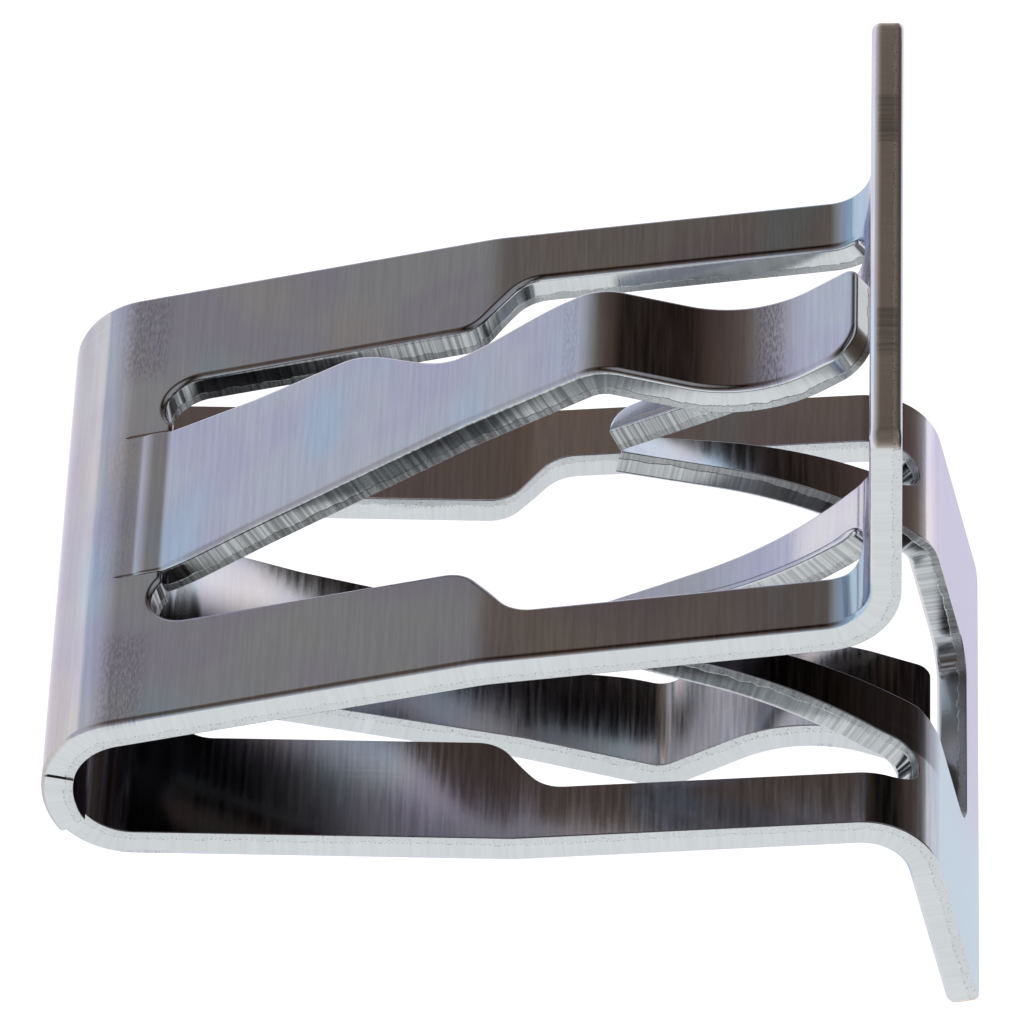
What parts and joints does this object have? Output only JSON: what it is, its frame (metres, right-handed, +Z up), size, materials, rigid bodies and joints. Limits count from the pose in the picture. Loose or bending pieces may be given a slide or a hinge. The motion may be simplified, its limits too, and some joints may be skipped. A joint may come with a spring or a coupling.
{
  "type": "windshield garnish clip",
  "caption": "Folded spring-steel U-clip with outward flanges at its open end, an arched spring tongue cut from each leg and inward barbs that grip a trim rib.",
  "frame": {"origin": "on the floor, under the middle of the clip's bounding box", "axes": "+Z up, +X from the nose to the open end, +Y across the strip"},
  "size_m": [0.0244, 0.0164, 0.0182],
  "materials": {
    "zinc_steel": "bright zinc plate with a faint blue tint and fine grain across the strip"
  },
  "bodies": {
    "root": {"clip": "zinc_steel"}
  },
  "joints": []
}
